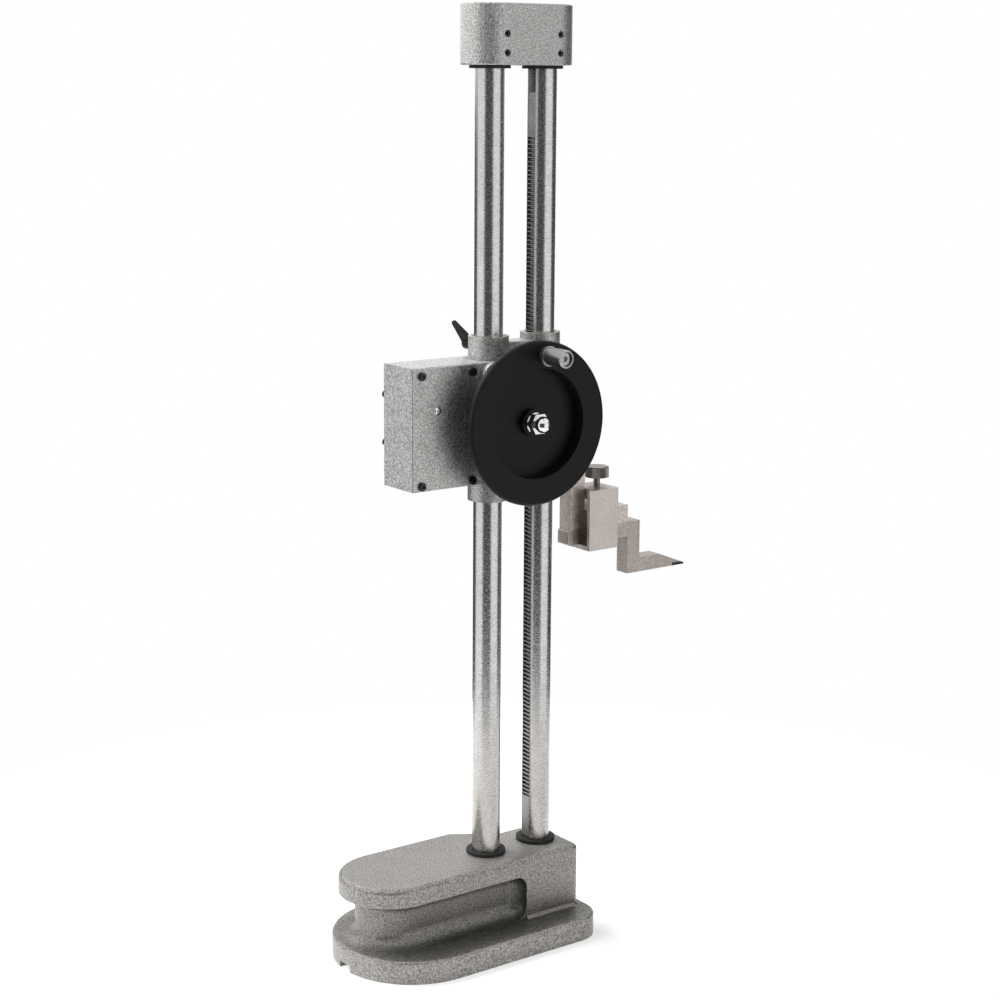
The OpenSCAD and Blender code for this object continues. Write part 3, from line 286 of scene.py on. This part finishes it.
# Crank wheel and grip
# The wheel is moulded in black and dished, with a heavy rim. A domed nut and washer hold it, and a
# satin steel grip spins on a shoulder screw.
black_enamel = matt_black("black_enamel", (0.0145, 0.014, 0.0138), low=0.36, high=0.52,
                          size=0.0006, depth=0.00003, gloss=0.14)
bright_chrome = turned_metal("bright_chrome", (0.83, 0.83, 0.82), low=0.05, high=0.12,
                             size=0.0004, depth=0.000002, stretch=(1, 0.1, 1))
satin_steel = turned_metal("satin_steel", (0.47, 0.465, 0.46), low=0.28, high=0.42,
                           size=0.0009, depth=0.00006, mark=0.2)
give(black_enamel, "crank_wheel")
give(bright_chrome, "wheel_washer", "wheel_nut")
give(satin_steel, "crank_grip", "crank_pin")


# Counter box
# A cast box with a flat cover held by four black pan screws, one bright screw in the plate, and
# two buttons that zero the counters.
give(light_paint, "counter_box", "counter_cover")
give(black_oxide, "cover_screws", "upper_button", "lower_button")
give(bright_chrome, "cover_stud")
give(ground_steel, "counter_frames", "counter_axles")


smudge_size = 0.012


def clear_pane(name, ior):
    """Clear glass or acrylic with faint smudges."""
    finish, tree, shader, place = start_finish(name)
    smudge = grain(tree, place, smudge_size, detail=3)
    tree.links.new(tone(tree, smudge, (grain_low, (0.97, 0.98, 0.98)), (grain_high, (1, 1, 1))),
                   shader.inputs["Base Color"])
    shader.inputs["Transmission Weight"].default_value = 1
    shader.inputs["IOR"].default_value = ior
    dull(tree, shader, smudge, low=0.0, high=0.03)
    return finish


clear_glass = clear_pane("clear_glass", 1.49)
give(clear_glass, "counter_windows")


# Number wheels
# White plastic drums, each with ten printed figures. They turn behind the panes, units at the
# right-hand end as one reads them from the dial side.
def mottled(name, size, dark, pale, low, high, depth, detail=3):
    """A smooth moulded or printed surface, with a faint mottle from dark to pale."""
    finish, tree, shader, place = start_finish(name)
    mottle = grain(tree, place, size, detail=detail)
    tree.links.new(tone(tree, mottle, (grain_low, dark), (grain_high, pale)),
                   shader.inputs["Base Color"])
    dull(tree, shader, mottle, low, high)
    emboss(tree, shader, mottle, depth)
    return finish


counter_white = mottled("counter_white", 0.004, (0.78, 0.77, 0.74), (0.84, 0.83, 0.80),
                        low=0.35, high=0.5, depth=0.00001)
black_ink = mottled("black_ink", 0.0012, (0.008, 0.008, 0.008), (0.016, 0.016, 0.016),
                    low=0.4, high=0.6, depth=0.000005, detail=2)
ink_t = 0.00005
body_per_figure = 1.38


def figure(body, height):
    """A printed figure as a closed slab in the plane z = 0, centred, `height` metres tall."""
    words = bpy.data.curves.new("figure", "FONT")
    words.body = body
    words.align_x = "CENTER"
    words.size = height * body_per_figure
    words.extrude = ink_t / 2
    words.resolution_u = 4
    holder = bpy.data.objects.new("figure", words)
    bpy.context.scene.collection.objects.link(holder)
    bpy.context.view_layer.update()
    solid = holder.evaluated_get(bpy.context.evaluated_depsgraph_get())
    shape = bpy.data.meshes.new_from_object(solid)
    bpy.data.objects.remove(holder)
    bpy.data.curves.remove(words)
    slab = bmesh.new()
    slab.from_mesh(shape)
    bpy.data.meshes.remove(shape)
    bmesh.ops.remove_doubles(slab, verts=slab.verts, dist=1e-7)
    low = min(v.co.y for v in slab.verts)
    high = max(v.co.y for v in slab.verts)
    bmesh.ops.translate(slab, verts=slab.verts, vec=(0, -(low + high) / 2, ink_t / 2))
    return slab


def make_piece(name, mesh, finish, body):
    """Turns a bmesh into a piece with a finish that rides on a CAD body."""
    bmesh.ops.recalc_face_normals(mesh, faces=mesh.faces)
    data = bpy.data.meshes.new(name)
    mesh.to_mesh(data)
    mesh.free()
    data.materials.append(finish)
    piece = bpy.data.objects.new(name, data)
    bpy.context.scene.collection.objects.link(piece)
    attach(piece, body)
    return piece


def join(into, other):
    """Adds one bmesh to another and frees it."""
    spare = bpy.data.meshes.new("spare")
    other.to_mesh(spare)
    other.free()
    into.from_mesh(spare)
    bpy.data.meshes.remove(spare)


drum_figure_h = 0.0056
drum_cuts = 9
shown = {"upper": (2, 6, 2), "lower": (7, 3, 8)}
places = ("hundreds", "tens", "units")
for row, reading in shown.items():
    for decade, front in zip(places, reading):
        drum = f"{row}_{decade}"
        low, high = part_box(drum)
        middle = (low + high) / 2
        radius = (high.z - low.z) / 2
        ring = bmesh.new()
        for digit in range(10):
            slab = figure(str(digit), drum_figure_h)
            for cut in range(-(drum_cuts // 2), drum_cuts // 2 + 1):
                bmesh.ops.bisect_plane(slab, geom=slab.verts[:] + slab.edges[:] + slab.faces[:],
                                       plane_co=(0, cut * drum_figure_h / drum_cuts, 0),
                                       plane_no=(0, 1, 0))
            turn = -math.tau / 10 * (digit - front)
            for v in slab.verts:
                around = turn + v.co.y / radius
                out = radius + v.co.z
                v.co = Vector((middle.x - v.co.x, middle.y + out * math.cos(around),
                               middle.z + out * math.sin(around)))
            join(ring, slab)
        carrier = nodes[drum]["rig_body"]
        make_piece(f"{drum}_figures", ring, black_ink, carrier)
    give(counter_white, *[f"{row}_{decade}" for decade in places])


# Dial
# The dial on the reading side: painted casing, brass train, white face with a hundred divisions,
# black hand, scalloped nickel bezel and a clear crystal. One turn of the hand is two millimetres.
satin_nickel = turned_metal("satin_nickel", (0.60, 0.545, 0.51), low=0.3, high=0.5,
                            size=0.001, depth=0.00009, mark=0.26)
give(light_paint, "dial_casing")
give(bronze, "train_bridge", "middle_arbor", "hand_arbor")
give(satin_nickel, "bezel")
give(clear_glass, "crystal")

dial_white = mottled("dial_white", 0.003, (0.80, 0.80, 0.78), (0.85, 0.85, 0.83),
                     low=0.4, high=0.55, depth=0.000006)
give(dial_white, "dial_face")
give(black_oxide, "dial_hand")

face_low, face_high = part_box("dial_face")
face_mid = (face_low + face_high) / 2
face_y = face_high.y
divisions = 100
scale_r = 0.0288
number_r = 0.0212
number_h = 0.0034


def on_face(mesh, angle, reach, upright=False):
    """Moves a flat slab to a reach and a clockwise angle on the dial, seen from the dial side."""
    turn = Matrix(((-1, 0, 0), (0, 0, 1), (0, 1, 0))).to_4x4()
    spin = Matrix.Identity(4) if upright else Matrix.Rotation(-angle, 4, "Z")
    away = Vector((-math.sin(angle) * reach, 0, math.cos(angle) * reach))
    move = Matrix.Translation(Vector((face_mid.x, face_y, face_mid.z)) + away)
    bmesh.ops.transform(mesh, matrix=move @ turn @ spin, verts=mesh.verts)


long_mark, middle_mark, short_mark = 0.0040, 0.0030, 0.0021
bold_line, fine_line = 0.00042, 0.00024
marks = bmesh.new()
for i in range(divisions):
    long = long_mark if i % 10 == 0 else middle_mark if i % 5 == 0 else short_mark
    wide = bold_line if i % 10 == 0 else fine_line
    mark = bmesh.new()
    bmesh.ops.create_cube(mark, size=1)
    bmesh.ops.scale(mark, vec=(wide, long, ink_t), verts=mark.verts)
    bmesh.ops.translate(mark, vec=(0, 0, ink_t / 2), verts=mark.verts)
    on_face(mark, i * math.tau / divisions, scale_r - long / 2)
    join(marks, mark)
for i in range(10):
    number = figure(str(20 * i), number_h)
    on_face(number, i * math.tau / 10, number_r, upright=True)
    join(marks, number)
make_piece("dial_print", marks, black_ink, nodes["dial_face"]["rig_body"])


# Jaw, clamp and scriber
# The jaw's upright and the clamp are nickelled steel, blasted to a fine warm grain. The ground
# scriber slides between them under a knurled thumb screw, and has a brazed carbide edge.
dark_carbide = turned_metal("dark_carbide", (0.05, 0.048, 0.047), low=0.2, high=0.34,
                            size=0.0004, depth=0.000005, stretch=(1, 0.2, 1))
scriber_steel = turned_metal("scriber_steel", (0.45, 0.405, 0.372), low=0.3, high=0.48,
                             size=0.001, depth=0.00009, mark=0.3)
knurled_steel = turned_metal("knurled_steel", (0.30, 0.285, 0.27), low=0.3, high=0.45,
                             size=0.0009, depth=0.00012, mark=0.3)
give(satin_nickel, "jaw", "clamp_frame")
give(scriber_steel, "scriber")
give(knurled_steel, "thumb_screw")
give(black_oxide, "jaw_screws")
give(dark_carbide, "carbide_tip")


# Camera
# It stands where the photograph was taken from: at the crank side, a little behind the gauge and
# just above its slider.
yaw, pitch, roll = (math.radians(a) for a in (36.262, 10.071, -0.364))
standpoint = (-0.88046, -1.18333, 0.63814)
ahead = Vector((math.sin(yaw) * math.cos(pitch), math.cos(yaw) * math.cos(pitch),
                -math.sin(pitch)))
level = Vector((math.cos(yaw), -math.sin(yaw), 0))
down = ahead.cross(level)
right = level * math.cos(roll) + down * math.sin(roll)
up = level * math.sin(roll) - down * math.cos(roll)
camera = bpy.data.objects.new("camera", bpy.data.cameras.new("camera"))
bpy.context.scene.collection.objects.link(camera)
camera.data.lens = 73.71
camera.data.shift_y = -0.06
turned = Matrix((right, up, -ahead)).transposed().to_4x4()
camera.matrix_world = Matrix.Translation(standpoint) @ turned
bpy.context.scene.camera = camera


# Studio
# A round white table, soft lights at the left, in front, above and behind, and dark cards that
# only show in reflections, as a photographer sets them round bright metal.
bpy.context.scene.view_settings.view_transform = "Standard"


def seen_rays(tree):
    """One where a ray comes from the camera, a reflection or glass, which see one background."""
    rays = tree.nodes.new("ShaderNodeLightPath")
    total = rays.outputs["Is Camera Ray"]
    for name in ("Is Glossy Ray", "Is Transmission Ray"):
        either = tree.nodes.new("ShaderNodeMath")
        either.operation = "MAXIMUM"
        tree.links.new(total, either.inputs[0])
        tree.links.new(rays.outputs[name], either.inputs[1])
        total = either.outputs[0]
    return total


room_fill = 0.04
world = bpy.data.worlds.new("studio")
world.use_nodes = True
bpy.context.scene.world = world
tree = world.node_tree
strength = tree.nodes.new("ShaderNodeMapRange")
strength.inputs["To Min"].default_value = room_fill
strength.inputs["To Max"].default_value = 1
tree.links.new(seen_rays(tree), strength.inputs["Value"])
tree.nodes["Background"].inputs["Color"].default_value = (1, 1, 1, 1)
tree.links.new(strength.outputs["Result"], tree.nodes["Background"].inputs["Strength"])

table_r = 0.58
table_gap = 0.0002
table_grey = 0.36
table_glow = 0.7
table = bmesh.new()
bmesh.ops.create_circle(table, cap_ends=True, segments=128, radius=table_r)
bmesh.ops.translate(table, vec=(0, 0, -table_gap), verts=table.verts)
data = bpy.data.meshes.new("table")
table.to_mesh(data)
table.free()
finish, tree, shader, place = start_finish("white_table")
shader.inputs["Base Color"].default_value = (table_grey, table_grey, table_grey, 1)
shader.inputs["Roughness"].default_value = 0.9
shader.inputs["Specular IOR Level"].default_value = 0.1
shader.inputs["Emission Color"].default_value = (1, 1, 1, 1)
glow = tree.nodes.new("ShaderNodeMath")
glow.operation = "MULTIPLY"
glow.inputs[1].default_value = table_glow
tree.links.new(seen_rays(tree), glow.inputs[0])
tree.links.new(glow.outputs[0], shader.inputs["Emission Strength"])
data.materials.append(finish)
floor = bpy.data.objects.new("table", data)
bpy.context.scene.collection.objects.link(floor)

card_black = bpy.data.materials.new("card_black")
card_black.use_nodes = True
shader = card_black.node_tree.nodes["Principled BSDF"]
shader.inputs["Base Color"].default_value = (0.01, 0.01, 0.01, 1)
shader.inputs["Roughness"].default_value = 1
shader.inputs["Emission Color"].default_value = (1, 1, 1, 1)
shader.inputs["Emission Strength"].default_value = 0.06


card_r = 2
card_low = -0.9
card_step = 6


def dark_card(name, start, end, top=1.3):
    """A standing curved card from one bearing to another, in degrees anticlockwise from +X."""
    card = bmesh.new()
    turn = math.radians(start)
    foot = [Vector((card_r * math.cos(turn), card_r * math.sin(turn), z)) for z in (card_low, top)]
    edge = card.edges.new([card.verts.new(p) for p in foot])
    bmesh.ops.spin(card, geom=edge.verts[:] + [edge], cent=(0, 0, 0), axis=(0, 0, 1),
                   angle=math.radians(end - start), steps=round((end - start) / card_step))
    shape = bpy.data.meshes.new(name)
    card.to_mesh(shape)
    card.free()
    shape.materials.append(card_black)
    stand = bpy.data.objects.new(name, shape)
    bpy.context.scene.collection.objects.link(stand)
    stand.visible_camera = False
    stand.visible_diffuse = False
    stand.visible_transmission = False
    stand.visible_shadow = False


dark_card("card_front", 196, 262)
dark_card("card_right", 324, 384)
dark_card("card_back", 410, 490, top=0.6)


gauge_middle = Vector((0, 0, 0.35))


def soft_light(name, place, size, power, tint_of_light=(1, 1, 1)):
    """A soft box, `size` wide and tall, that faces the middle of the gauge."""
    lamp = bpy.data.lights.new(name, "AREA")
    lamp.shape = "RECTANGLE"
    lamp.size, lamp.size_y = size
    lamp.energy = power
    lamp.color = tint_of_light
    box = bpy.data.objects.new(name, lamp)
    bpy.context.scene.collection.objects.link(box)
    box.location = place
    box.rotation_mode = "QUATERNION"
    box.rotation_quaternion = (gauge_middle - box.location).to_track_quat("-Z", "Y")
    box.visible_glossy = False


soft_light("left_box", (-1.4, 0.25, 1.15), (0.9, 0.9), 21)
soft_light("front_box", (0.5, -1.25, 0.25), (0.9, 0.5), 4.5, (1, 0.965, 0.93))
soft_light("top_box", (-0.5, 0.9, 1.55), (0.9, 0.9), 66)
soft_light("back_box", (-0.45, 1.6, 0.9), (1.0, 1.0), 9)
